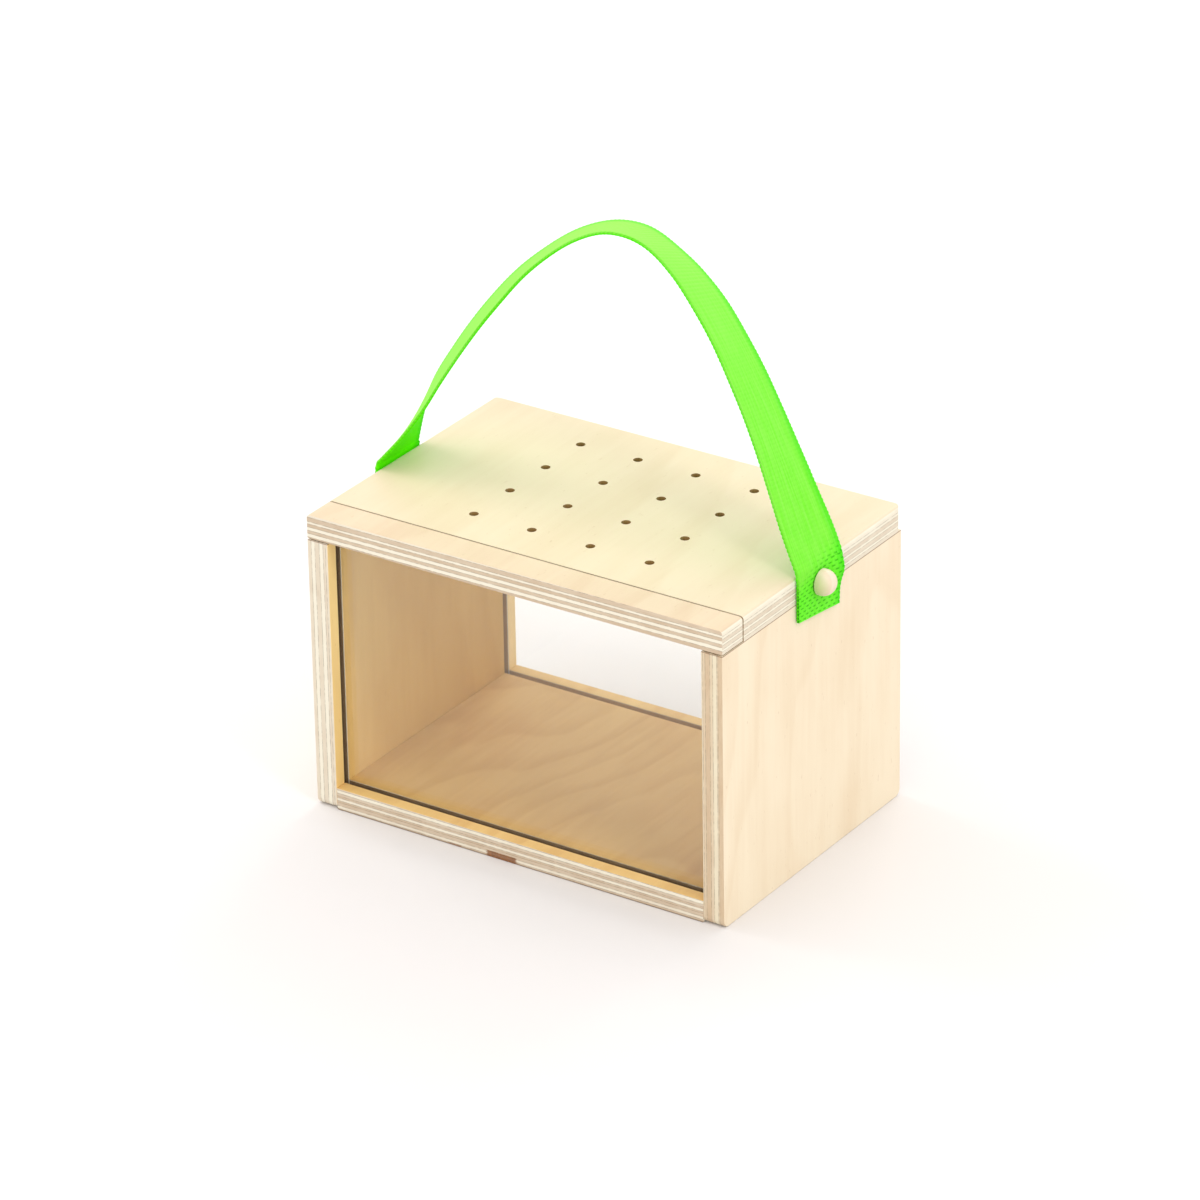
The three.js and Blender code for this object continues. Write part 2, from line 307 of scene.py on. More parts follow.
def tinged(tree, colour, tone, share, amount):
    """A colour with an amount of a tone blended into a share of it."""
    return blend_colour(tree, times(tree, share, amount), colour, tone)


def between_values(tree, factor, a, b):
    node = tree.nodes.new("ShaderNodeMix")
    node.clamp_factor = True
    put(tree, node.inputs[0], factor)
    put(tree, node.inputs[2], a)
    put(tree, node.inputs[3], b)
    return node.outputs[0]


def smooth(tree, value, low, high):
    """0 at low and 1 at high, eased between and level beyond them."""
    node = add(tree, "ShaderNodeMapRange", {"interpolation_type": "SMOOTHSTEP"}, Value=value)
    node.inputs["From Min"].default_value = low
    node.inputs["From Max"].default_value = high
    return node.outputs["Result"]


def faded(tree, value, low, high):
    """1 at low and 0 at high, eased between and level beyond them."""
    return calc(tree, "SUBTRACT", 1.0, smooth(tree, value, low, high))


def noise(tree, vector, scale, detail=2.0, roughness=0.5):
    """Noise of a scale, which is one number or one for each axis."""
    if isinstance(scale, tuple):
        vector, scale = vector_calc(tree, "MULTIPLY", vector, scale), 1.0
    node = add(tree, "ShaderNodeTexNoise", Vector=vector, Scale=scale, Detail=detail, Roughness=roughness)
    return node.outputs["Fac"]


def new_group(name, inputs, outputs, kind="ShaderNodeTree"):
    """A node group with named sockets. Each is a name and a type, or only a name where it is a number."""
    tree = bpy.data.node_groups.new(name, kind)
    for way, sockets in (("INPUT", inputs), ("OUTPUT", outputs)):
        for socket in sockets:
            label, short = (socket, "Float") if isinstance(socket, str) else socket
            tree.interface.new_socket(label, in_out=way, socket_type="NodeSocket" + short)
    given = tree.nodes.new("NodeGroupInput").outputs
    result = tree.nodes.new("NodeGroupOutput").inputs
    return tree, given, result


def use_group(tree, group, **inputs):
    node = tree.nodes.new("ShaderNodeGroup")
    node.node_tree = group
    for name, value in inputs.items():
        put(tree, node.inputs[name.replace("_", " ")], value)
    return node.outputs


# Shader groups

def birch_figure_group():
    """Face veneer of birch. Vector is in millimetres: X across the grain, Y along it, Z into the board."""
    tree, given, result = new_group(
        "Birch figure",
        [("Vector", "Vector"), "Figure", "Spread", "Seed", ("Pale", "Color"), ("Golden", "Color")],
        [("Color", "Color"), "Height"],
    )
    apart = scaled(tree, (131.0, 57.0, 1.0), given["Seed"])
    place = vector_calc(tree, "ADD", given["Vector"], apart)
    broad = noise(tree, place, (0.016, 0.006, 0.01), 1.0, 0.4)
    wander = noise(tree, place, (0.05, 0.012, 0.02))
    phase = times_plus(tree, broad, 7.0, times(tree, axis_part(tree, place, "X"), 0.035))
    phase = times(tree, times_plus(tree, wander, 0.9, phase), given["Spread"])
    ring = calc(tree, "FRACT", phase)
    late = times(tree, smooth(tree, ring, 0.35, 0.86), faded(tree, ring, 0.86, 1.0))
    clouds = noise(tree, place, (0.05, 0.022, 0.05), 3.0, 0.55)
    bands = noise(tree, place, (0.22, 0.014, 0.1), 2.0, 0.6)
    streaks = noise(tree, place, (0.9, 0.03, 0.9), 3.0, 0.6)
    flecks = smooth(tree, noise(tree, place, (1.6, 0.28, 1.6), 1.0), 0.735, 0.79)
    tone = varied(tree, times(tree, late, 0.4), clouds, 0.35, 1.3)
    tone = varied(tree, tone, bands, 0.5, 0.9)
    tone = varied(tree, tone, streaks, 0.5, 0.4)
    tone = times(tree, tone, given["Figure"], clamp=True)
    colour = blend_colour(tree, tone, given["Pale"], given["Golden"])
    put(tree, result["Color"], tinged(tree, colour, fleck_tone, flecks, 0.3))
    put(tree, result["Height"], times_plus(tree, flecks, -0.6, times(tree, streaks, 0.6)))
    return tree


def ply_edge_group():
    """The cut edge of plywood. Tone is 0 for long grain and 1 for end grain, and Glue marks the lines
    between. Place is in millimetres, and Fibre is Place drawn out along the layers."""
    tree, given, result = new_group(
        "Plywood edge",
        ["Tone", "Glue", ("Place", "Vector"), ("Fibre", "Vector"), ("Bright", "Color"), ("Tan", "Color")],
        [("Color", "Color"), "Height"],
    )
    speckle = noise(tree, given["Fibre"], 1.0, 3.0, 0.65)
    patches = noise(tree, given["Place"], 0.11, 2.0, 0.55)
    broken = smooth(tree, noise(tree, given["Place"], 0.5, 2.0, 0.6), 0.3, 0.62)
    tone = varied(tree, given["Tone"], patches, 0.5, 0.5, clamp=True)
    grain = times(tree, calc(tree, "SUBTRACT", speckle, 0.42), times(tree, tone, 1.5), clamp=True)
    colour = blend_colour(tree, tone, given["Bright"], given["Tan"])
    colour = blend_colour(tree, grain, colour, pore_tone)
    line = times(tree, given["Glue"], times_plus(tree, broken, 0.7, 0.1))
    put(tree, result["Color"], blend_colour(tree, line, colour, glue_line))
    put(tree, result["Height"], times_plus(tree, line, -0.8, times(tree, grain, -0.5)))
    return tree


def webbing_weave_group():
    """A ribbed webbing. Place is in millimetres: X across the strap, Y along it, Z through it."""
    tree, given, result = new_group(
        "Webbing weave",
        [("Place", "Vector"), "Rib pitch", "Pit pitch", "Loop pitch", "Half width", "Pit depth"],
        ["Height", "Pits", "Yarn", "Selvedge", "Streaks"],
    )
    across, along = axis_part(tree, given["Place"], "X"), axis_part(tree, given["Place"], "Y")
    uneven = noise(tree, given["Place"], 0.22)
    rib = calc(tree, "ABSOLUTE", ripple(tree, along, given["Rib pitch"], math.pi))
    row = calc(tree, "ROUND", calc(tree, "DIVIDE", along, given["Rib pitch"]))
    odd_row = calc(tree, "PINGPONG", row, 1.0)
    column = times_plus(tree, odd_row, 0.5, calc(tree, "DIVIDE", across, given["Pit pitch"]))
    column = varied(tree, column, uneven, 0.5, 0.35)
    wave = calc(tree, "COSINE", times(tree, column, 2 * math.pi))
    pits = times(tree, faded(tree, rib, 0.2, 0.75), smooth(tree, wave, -0.5, 0.65))
    twine = noise(tree, given["Place"], (6.0, 2.2, 2.0), 2.0, 0.6)
    sunk = times(tree, pits, times(tree, given["Pit depth"], -1.2))
    height = times_plus(tree, rib, 0.35, sunk)
    height = times_plus(tree, calc(tree, "SINE", times(tree, across, 4.0)), 0.1, height)
    put(tree, result["Height"], times_plus(tree, twine, 0.25, height))
    put(tree, result["Pits"], pits)
    put(tree, result["Yarn"], times_plus(tree, uneven, 0.6, times(tree, twine, 0.5)))
    inset = calc(tree, "SUBTRACT", given["Half width"], calc(tree, "ABSOLUTE", across))
    loop = smooth(tree, ripple(tree, along, given["Loop pitch"], 2 * math.pi), -0.8, 0.4)
    loop = times_plus(tree, loop, 0.7, 0.3)
    put(tree, result["Selvedge"], times(tree, faded(tree, inset, 0.05, 0.35), loop))
    streaks = noise(tree, given["Place"], (1.3, 0.03, 0.2), 2.0, 0.6)
    put(tree, result["Streaks"], smooth(tree, streaks, 0.35, 0.7))
    return tree


birch_figure = birch_figure_group()
ply_edge = ply_edge_group()
webbing_weave = webbing_weave_group()


# Materials

def new_material(name):
    material = bpy.data.materials.new(name)
    material.use_nodes = True
    tree = material.node_tree
    return material, tree, tree.nodes["Principled BSDF"]


def own_place(tree):
    """A point's place in its piece's own space, in millimetres."""
    return scaled(tree, tree.nodes.new("ShaderNodeTexCoord").outputs["Object"], 1 / MM)


def own_normal(tree):
    return tree.nodes.new("ShaderNodeTexCoord").outputs["Normal"]


def raised(tree, shader, height, strength, distance):
    """Gives a surface the bumps of a height."""
    bump = add(tree, "ShaderNodeBump", Strength=strength, Distance=distance, Height=height)
    put(tree, shader.inputs["Normal"], bump.outputs["Normal"])


def rearranged(tree, vector, across, along, inward):
    """The same vector with its parts in the order across the grain, along it, into the board."""
    parts = add(tree, "ShaderNodeSeparateXYZ", Vector=vector).outputs
    return add(tree, "ShaderNodeCombineXYZ", X=parts[across], Y=parts[along], Z=parts[inward]).outputs[0]


def layer_ramp(tree, depth, layers):
    """Where a depth lies among a board's layers: its layer's tone, and how near it is to a glue line."""
    whole = sum(thickness for thickness, tone in layers)
    glue_reach = 0.16 / whole
    node = add(tree, "ShaderNodeValToRGB", Fac=depth)
    stops = node.color_ramp.elements
    stops[0].color = (layers[0][1], 0, 0, 1)
    stops[1].color = (layers[-1][1], 0, 0, 1)
    reached = 0
    for (thickness, tone), (following, next_tone) in zip(layers, layers[1:]):
        reached += thickness / whole
        stops.new(reached - glue_reach).color = (tone, 0, 0, 1)
        stops.new(reached).color = ((tone + next_tone) / 2, 1, 0, 1)
        stops.new(reached + glue_reach).color = (next_tone, 0, 0, 1)
    parts = add(tree, "ShaderNodeSeparateColor", Color=node.outputs["Color"]).outputs
    return parts["Red"], parts["Green"]


def knot(tree, place, fibre, centre, size):
    """A ragged dark spot: where it is, and its colour."""
    away = vector_calc(tree, "DIVIDE", vector_calc(tree, "SUBTRACT", place, centre), size)
    away = vector_calc(tree, "ABSOLUTE", away)
    distance = calc(tree, "MAXIMUM", axis_part(tree, away, "X"), axis_part(tree, away, "Y"))
    distance = calc(tree, "MAXIMUM", distance, axis_part(tree, away, "Z"))
    ragged = varied(tree, distance, noise(tree, fibre, 1.6, 3.0, 0.7), 0.5, 0.5)
    colour = blend_colour(tree, noise(tree, place, 1.1, 2.0, 0.7), *knot_tones)
    return faded(tree, ragged, 0.86, 1.0), colour


def painted_inside_shading(tree, place):
    """Painted light and shade on the veneer inside the box, brighter to the front and top and darker to the
    back and bottom, and on the strip behind the back pane.
    """
    nearness = times_plus(tree, axis_part(tree, place, "Z"), 0.0065, 0.14)
    nearness = times_plus(tree, axis_part(tree, place, "Y"), -0.0065, nearness, clamp=True)
    tone = blend_colour(tree, nearness, painted_inside_shade_back, painted_inside_light_front)
    pane_back = back_pane_high.y / MM
    outside = smooth(tree, axis_part(tree, place, "Y"), pane_back, pane_back + 1)
    return blend_colour(tree, outside, tone, painted_light_behind_back_pane)


def plywood(name, low, high, thick, grain, layers, seed, tones, figure, spread, knots=(), inner=None,
            cut_wood_and_shade_tones=groove_wood_with_painted_shade, cut_edges=edge_tones, contact_shade=0.0, slope=0.0):
    """A birch plywood board: veneer on its two faces, its layers on every edge, raw wood where it is cut,
    and painted shade in the grooves and faintly on the saw cut, as the cut tones give. inner is 1 or -1
    where the face on that side of the board looks into the box, and so gets the box's painted inside light
    and shade. Painted shade can darken the lowest edge, where the board stands on the floor. slope is how
    much the front's layers rise to the right."""
    material, tree, shader = new_material(name)
    third = next(axis for axis in "XYZ" if axis not in (thick, grain))
    place, normal = own_place(tree), own_normal(tree)
    veneer = use_group(tree, birch_figure, Vector=rearranged(tree, place, third, grain, thick), Seed=seed,
                       Figure=figure, Spread=spread, Pale=tones[0], Golden=tones[1])
    index = "XYZ".index(thick)
    first, last = low[index] / MM, high[index] / MM
    depth = calc(tree, "DIVIDE", calc(tree, "SUBTRACT", axis_part(tree, place, thick), first), last - first)
    depth = varied(tree, depth, noise(tree, place, 0.035), 0.5, 0.03)
    fallen = times(tree, axis_part(tree, place, "X"), -slope / (last - first))
    front_tone, front_glue = layer_ramp(tree, calc(tree, "ADD", depth, fallen), layers["front"])
    end_tone, end_glue = layer_ramp(tree, depth, layers["ends"])
    faces_front = smooth(tree, calc(tree, "ABSOLUTE", axis_part(tree, normal, "Y")), 0.4, 0.6)
    drawn_out = [0.22, 0.22, 0.22]
    drawn_out[index] = 3.2
    fibre = vector_calc(tree, "MULTIPLY", place, drawn_out)
    edge = use_group(tree, ply_edge, Place=place, Fibre=fibre, Bright=cut_edges[0], Tan=cut_edges[1],
                     Tone=between_values(tree, faces_front, end_tone, front_tone),
                     Glue=between_values(tree, faces_front, end_glue, front_glue))
    facing = axis_part(tree, normal, thick)
    is_face = smooth(tree, calc(tree, "ABSOLUTE", facing), 0.55, 0.8)
    face_colour = veneer["Color"]
    # Faces that look into the box get painted light and shade
    if inner:
        inward = smooth(tree, times(tree, facing, inner), 0.7, 0.97)
        face_colour = blend_colour(tree, inward, face_colour, painted_inside_shading(tree, place), "MULTIPLY")
    colour = blend_colour(tree, is_face, edge["Color"], face_colour)
    level = axis_part(tree, place, "Z")
    if thick == "X":
        joint = smooth(tree, level, high.z / MM - 0.5, high.z / MM - 0.15)
        joint = times(tree, joint, faded(tree, axis_part(tree, normal, "Z"), 0.6, 0.95))
        colour = tinged(tree, colour, joint_shadow, joint, 0.85)
    # Painted shade along the lowest edge, where the board stands on the floor
    if contact_shade:
        colour = tinged(tree, colour, painted_contact_shade, faded(tree, level, 0.1, 0.8), contact_shade)
    # Cut faces get raw wood; the cut tones also paint shade into the grooves and faintly onto the saw cut
    cut = add(tree, "ShaderNodeAttribute", {"attribute_name": "cut"}).outputs["Fac"]
    raw = blend_colour(tree, smooth(tree, axis_part(tree, place, "Y"), 20, 40), *cut_wood_and_shade_tones)
    colour = tinged(tree, colour, raw, cut, 0.85)
    for centre, size, strength in knots:
        spot, dark = knot(tree, place, fibre, centre, size)
        colour = tinged(tree, colour, dark, spot, strength)
    put(tree, shader.inputs["Base Color"], colour)
    height = between_values(tree, is_face, edge["Height"], veneer["Height"])
    raised(tree, shader, height, 0.25, 0.1 * MM)
    rough = times_plus(tree, is_face, -0.14, 0.68)
    put(tree, shader.inputs["Roughness"], times_plus(tree, height, 0.06, rough))
    return material


def turned_wood(name, seed, tones, thrown_back=None):
    """Pale turned hardwood, its grain along the peg. thrown_back tinges the side that faces the front with
    the light that the strap throws back."""
    material, tree, shader = new_material(name)
    place = own_place(tree)
    veneer = use_group(tree, birch_figure, Vector=rearranged(tree, place, "Y", "X", "Z"), Seed=seed,
                       Figure=0.8, Spread=3.0, Pale=tones[0], Golden=tones[1])
    colour = veneer["Color"]
    if thrown_back:
        from_front = calc(tree, "SUBTRACT", axis_part(tree, place, "Y"), peg_low.y / MM)
        colour = blend_colour(tree, faded(tree, from_front, 0.0, 3.5), colour, thrown_back)
    put(tree, shader.inputs["Base Color"], colour)
    put(tree, shader.inputs["Roughness"], times_plus(tree, veneer["Height"], 0.08, 0.45))
    raised(tree, shader, veneer["Height"], 0.2, 0.1 * MM)
    return material


def clear_acrylic(name):
    """Clear sheet with sawn edges. Lamps shine through it, and a trace of dust and wiping shows on it. Its
    sawn edges carry a painted golden brown shade that stands for the groove wood seen through them.
    """
    material, tree, shader = new_material(name)
    wiped = noise(tree, own_place(tree), (0.03, 0.03, 0.012), 3.0, 0.6)
    sawn_with_painted_shade = faded(tree, calc(tree, "ABSOLUTE", axis_part(tree, own_normal(tree), "Y")), 0.5, 0.9)
    colour = blend_colour(tree, wiped, clean_pane, wiped_pane)
    # Painted golden brown on the sawn edges, standing for the shaded groove wood seen through them
    put(tree, shader.inputs["Base Color"], blend_colour(tree, sawn_with_painted_shade, colour, painted_groove_shade_on_pane_edge))
    put(tree, shader.inputs["Roughness"], times_plus(tree, wiped, 0.03, times(tree, sawn_with_painted_shade, 0.6)))
    put(tree, shader.inputs["Alpha"], times_plus(tree, sawn_with_painted_shade, -0.6, 1.0))
    shader.inputs["Transmission Weight"].default_value = 1.0
    shader.inputs["IOR"].default_value = 1.49
    clear = tree.nodes.new("ShaderNodeBsdfTransparent")
    path = tree.nodes.new("ShaderNodeLightPath")
    mix = tree.nodes.new("ShaderNodeMixShader")
    put(tree, mix.inputs[0], path.outputs["Is Shadow Ray"])
    put(tree, mix.inputs[1], shader.outputs[0])
    put(tree, mix.inputs[2], clear.outputs[0])
    put(tree, tree.nodes["Material Output"].inputs["Surface"], mix.outputs[0])
    return material


def green_webbing(name, strap_length):
    """Bright green ribbed webbing. Its outer face is paler with painted light and its inner face deeper with
    painted shade, and at glancing angles a painted sheen pales it. It is darker along its selvedges in
    dashes, and painted shade darkens its rear edge, and its pits and selvedges most by the pegs.
    """
    material, tree, shader = new_material(name)
    half_width = strap_width / 2 / MM
    woven = add(tree, "ShaderNodeAttribute", {"attribute_name": "weave"}).outputs["Vector"]
    across, along = axis_part(tree, woven, "X"), axis_part(tree, woven, "Y")
    outside = smooth(tree, axis_part(tree, woven, "Z"), -0.1, 0.1)
    to_end = calc(tree, "MINIMUM", along, calc(tree, "SUBTRACT", strap_length / MM, along))
    past_tab = smooth(tree, times_plus(tree, across, -0.35, to_end), 15.0, 24.0)
    on_tab = times(tree, calc(tree, "SUBTRACT", 1.0, past_tab), outside)
    weave = use_group(tree, webbing_weave, Place=woven, Rib_pitch=rib_pitch / MM, Pit_pitch=pit_pitch / MM,
                      Loop_pitch=loop_pitch / MM, Half_width=half_width,
                      Pit_depth=times_plus(tree, on_tab, 0.8, 0.2))
    # One webbing: painted shade on the inner face, painted light on the outer face
    painted_shade_inner_yarn = blend_colour(tree, weave["Yarn"], *painted_shade_inner_yarns)
    painted_light_outer_yarn = blend_colour(tree, weave["Yarn"], *painted_light_outer_yarns)
    painted_light_outer_yarn = tinged(tree, painted_light_outer_yarn, streak_yarn, weave["Streaks"], 0.4)
    glancing = add(tree, "ShaderNodeLayerWeight", Blend=0.5).outputs["Facing"]
    # Painted sheen: paler green where the outer face is seen at a glancing angle
    painted_light_outer_yarn = tinged(tree, painted_light_outer_yarn, painted_sheen_green, smooth(tree, glancing, 0.42, 0.85), past_tab)
    painted_light_outer_yarn = tinged(tree, painted_light_outer_yarn, tab_yarn, on_tab, 0.4)
    colour = blend_colour(tree, outside, painted_shade_inner_yarn, painted_light_outer_yarn)
    # Painted shade along the rear edge, where the strap cups
    rear_shade_band = smooth(tree, across, half_width - 5.0, half_width - 0.5)
    colour = tinged(tree, colour, painted_shade_rear_edge, rear_shade_band, 0.6)
    # Painted shade in the pits between the yarns, most on the tabs
    colour = tinged(tree, colour, painted_pit_shade, weave["Pits"], times_plus(tree, on_tab, 0.55, 0.04))
    # Darker selvedge loops, and on the tabs painted shade where the strap's edge stands against the board
    colour = tinged(tree, colour, selvedge_green_and_painted_tab_shade, weave["Selvedge"], times_plus(tree, on_tab, 0.65, 0.25))
    put(tree, shader.inputs["Base Color"], colour)
    put(tree, shader.inputs["Roughness"], times_plus(tree, weave["Yarn"], 0.15, 0.6))
    raised(tree, shader, weave["Height"], times_plus(tree, on_tab, 0.35, 0.3), 0.2 * MM)
    shader.inputs["Specular IOR Level"].default_value = 0.05
    return material


def pale_floor():
    material, tree, shader = new_material("Pale floor")
    shader.inputs["Base Color"].default_value = (0.70, 0.67, 0.655, 1)
    shader.inputs["Roughness"].default_value = 0.9
    return material


# Mesh helpers

def object_of(name, mesh):
    made = bpy.data.objects.new(name, mesh)
    bpy.context.scene.collection.objects.link(made)
    return made


def arc(centre, radius, start, steps=8):
    """A quarter turn, anticlockwise from start degrees."""
    return [
        (centre[0] + radius * math.cos(math.radians(start + 90 * step / steps)),
         centre[1] + radius * math.sin(math.radians(start + 90 * step / steps)))
        for step in range(steps + 1)
    ]


def outline(u0, u1, v0, v1, radii):
    """A rectangle with a radius for each corner: low-low, high-low, high-high, low-high."""
    low_low, high_low, high_high, low_high = radii
    corners = (
        ((u0, v0), low_low, 1, 1, 180), ((u1, v0), high_low, -1, 1, 270),
        ((u1, v1), high_high, -1, -1, 0), ((u0, v1), low_high, 1, -1, 90),
    )
    points = []
    for (u, v), radius, toward_u, toward_v, start in corners:
        if radius:
            points += arc((u + toward_u * radius, v + toward_v * radius), radius, start)
        else:
            points.append((u, v))
    return points


def finished(name, mesh):
    """An object of a closed bmesh, with its faces turned outwards."""
    bmesh.ops.recalc_face_normals(mesh, faces=mesh.faces)
    data = bpy.data.meshes.new(name)
    mesh.to_mesh(data)
    mesh.free()
    return object_of(name, data)


def prism(name, points, low, high, axes):
    """A closed solid of an outline. axes names the outline's two directions and the one it runs along."""
    columns = ["XYZ".index(axis) for axis in axes]
    mesh = bmesh.new()
    rings = []
    for level in (low, high):
        ring = []
        for u, v in points:
            place = [0.0, 0.0, 0.0]
            for column, value in zip(columns, (u, v, level)):
                place[column] = value
            ring.append(mesh.verts.new(place))
        rings.append(ring)
    mesh.faces.new(rings[0])
    mesh.faces.new(rings[1])
    for i in range(len(points)):
        j = (i + 1) % len(points)
        mesh.faces.new((rings[0][i], rings[0][j], rings[1][j], rings[1][i]))
    return finished(name, mesh)


def block(low, high):
    return prism("cutter", outline(low[0], high[0], low[1], high[1], (0, 0, 0, 0)), low[2], high[2], "XYZ")


def circle(centre, radius, steps):
    return [
        (centre[0] + radius * math.cos(2 * math.pi * step / steps),
         centre[1] + radius * math.sin(2 * math.pi * step / steps))
        for step in range(steps)
    ]


def settled(piece):
    """Turns a piece's modifiers into its mesh."""
    evaluated = piece.evaluated_get(bpy.context.evaluated_depsgraph_get())
    mesh = bpy.data.meshes.new_from_object(evaluated)
    piece.modifiers.clear()
    piece.data = mesh
    mesh.name = piece.name
    return piece


def combined(piece, others, operation):
    for other in others:
        modifier = piece.modifiers.new("cut", "BOOLEAN")
        modifier.object = other
        modifier.operation = operation
        modifier.solver = "EXACT"
    settled(piece)
    for other in others:
        bpy.data.objects.remove(other)
    return piece


def mark_cuts(piece, low, high, kerf=None):
    """Marks the faces of a board's grooves and holes, and more faintly, as painted shade, its side of the
    saw cut at kerf.
    """
    marks = piece.data.attributes.new("cut", "FLOAT", "FACE")
    values = []
    for face in piece.data.polygons:
        inside = min(min(c - l, h - c) for c, l, h in zip(face.center, low, high))
        # Painted shade: the saw cut's face gets a faint share of the cut tone
        sawn_with_painted_shade = kerf is not None and abs(face.center.y - kerf) < 0.1 * MM and abs(face.normal.y) > 0.9
        values.append(1.0 if inside > 1 * MM else 0.45 if sawn_with_painted_shade else 0.0)
    marks.data.foreach_set("value", values)


def eased(piece, width=eased_edge, segments=3):
    """Takes the sharpness off a piece's edges and shades it smoothly."""
    bevel = piece.modifiers.new("eased edges", "BEVEL")
    bevel.width = width
    bevel.segments = segments
    bevel.limit_method = "ANGLE"
    bevel.angle_limit = math.radians(40)
    bevel.use_clamp_overlap = True
    settled(piece)
    piece.data.shade_smooth()
    weighted = piece.modifiers.new("flat faces stay flat", "WEIGHTED_NORMAL")
    weighted.keep_sharp = True
    return settled(piece)


def dressed(piece, material, body, node):
    """Gives a finished piece its material and its place in the frame."""
    piece.data.materials.clear()
    piece.data.materials.append(material)
    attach(piece, body)
    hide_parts(node)
    return piece


# Boards

def pane_groove(pane_low, pane_high, z0, z1):
    reach = pane_high.x + groove_fit
    return block((-reach, pane_low.y - groove_fit, z0), (reach, pane_high.y + groove_fit, z1))


def open_grooves(top):
    """Cutters for both panes' grooves, from their floor in the base board up past a height."""
    floor = base_high.z - groove_depth
    return [
        pane_groove(front_pane_low, front_pane_high, floor, top + overrun),
        pane_groove(back_pane_low, back_pane_high, floor, top + overrun),
    ]


def make_side(side):
    node = "side_right" if side > 0 else "side_left"
    low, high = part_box(node)
    shape = outline(low.y, high.y, low.z, high.z, (corner_radius, corner_radius, 0, 0))
    piece = prism(node + "_board", shape, low.x, high.x, "YZX")
    combined(piece, open_grooves(high.z), "DIFFERENCE")
    eased(piece)
    mark_cuts(piece, low, high)
    layers = right_side_layers if side > 0 else left_side_layers
    cut_edges = right_edge_tones if side > 0 else edge_tones
    material = plywood(f"Birch plywood, {node}", low, high, "X", "Z", layers, 3.0 + side, side_veneer,
                       0.5, 0.7, inner=-side, cut_edges=cut_edges)
    return dressed(piece, material, "box", node)


def make_base():
    low, high = base_low, base_high
    shape = outline(low.y, high.y, low.z, high.z, (0, 0, 0, 0))
    piece = prism("base_panel", shape, low.x, high.x, "YZX")
    combined(piece, open_grooves(high.z), "DIFFERENCE")
    eased(piece)
    mark_cuts(piece, low, high)
    material = plywood("Birch plywood, base", low, high, "Z", "Y", base_layers, 6.0, base_veneer_with_painted_shade,
                       0.6, 1.1, base_knots, contact_shade=0.75, slope=base_slope)
    return dressed(piece, material, "box", "base_board")


def lid_blank(name, low, high, back_radius):
    """A board over the sides: rounded over at both ends, and at its back corners in plan."""
    piece = prism(name, outline(low.x, high.x, low.z, high.z, (0, 0, end_rounding, end_rounding)),
                  low.y, high.y, "XZY")
    if not back_radius:
        return piece
    plan = prism("plan", outline(low.x, high.x, low.y, high.y, (0, 0, back_radius, back_radius)),
                 low.z - overrun, high.z + overrun, "XYZ")
    return combined(piece, [plan], "INTERSECT")


def less(tree, solid, cutter, solver):
    """A geometry with another cut out of it."""
    cut = add(tree, "GeometryNodeMeshBoolean", {"operation": "DIFFERENCE", "solver": solver})
    tree.links.new(solid, cut.inputs["Mesh 1"])
    tree.links.new(cutter, cut.inputs["Mesh 2"])
    return cut.outputs["Mesh"]


def perforation_tree():
    """Cuts a grid of round holes through a board."""
    tree, given, result = new_group(
        "Perforated board",
        [("Geometry", "Geometry"), "Hole diameter", "Pitch X", "Pitch Y", ("Columns", "Int"),
         ("Rows", "Int"), ("Centre", "Vector"), "Drill length", ("Material", "Material")],
        [("Geometry", "Geometry")],
        "GeometryNodeTree",
    )
    tree.is_modifier = True

    def span(count, pitch):
        return times(tree, calc(tree, "SUBTRACT", count, 1.0), pitch)

    grid = add(tree, "GeometryNodeMeshGrid", Vertices_X=given["Columns"], Vertices_Y=given["Rows"],
               Size_X=span(given["Columns"], given["Pitch X"]),
               Size_Y=span(given["Rows"], given["Pitch Y"]))
    placed = add(tree, "GeometryNodeTransform", Geometry=grid.outputs["Mesh"], Translation=given["Centre"])
    drill = add(tree, "GeometryNodeMeshCylinder", Vertices=48, Depth=given["Drill length"],
                Radius=times(tree, given["Hole diameter"], 0.5))
    drills = add(tree, "GeometryNodeInstanceOnPoints", Points=placed.outputs["Geometry"],
                 Instance=drill.outputs["Mesh"])
    solid = add(tree, "GeometryNodeRealizeInstances", Geometry=drills.outputs["Instances"])
    cut = less(tree, given["Geometry"], solid.outputs["Geometry"], "EXACT")
    coloured = add(tree, "GeometryNodeSetMaterial", Geometry=cut, Material=given["Material"])
    put(tree, result["Geometry"], coloured.outputs["Geometry"])
    return tree


def run_tree(piece, tree, **inputs):
    """Runs a geometry tree on a piece with named inputs, and keeps its result as the piece's mesh."""
    modifier = piece.modifiers.new(tree.name, "NODES")
    modifier.node_group = tree
    identifiers = {
        item.name.replace(" ", "_"): item.identifier
        for item in tree.interface.items_tree if item.in_out == "INPUT"
    }
    for name, value in inputs.items():
        modifier[identifiers[name]] = value
    return settled(piece)


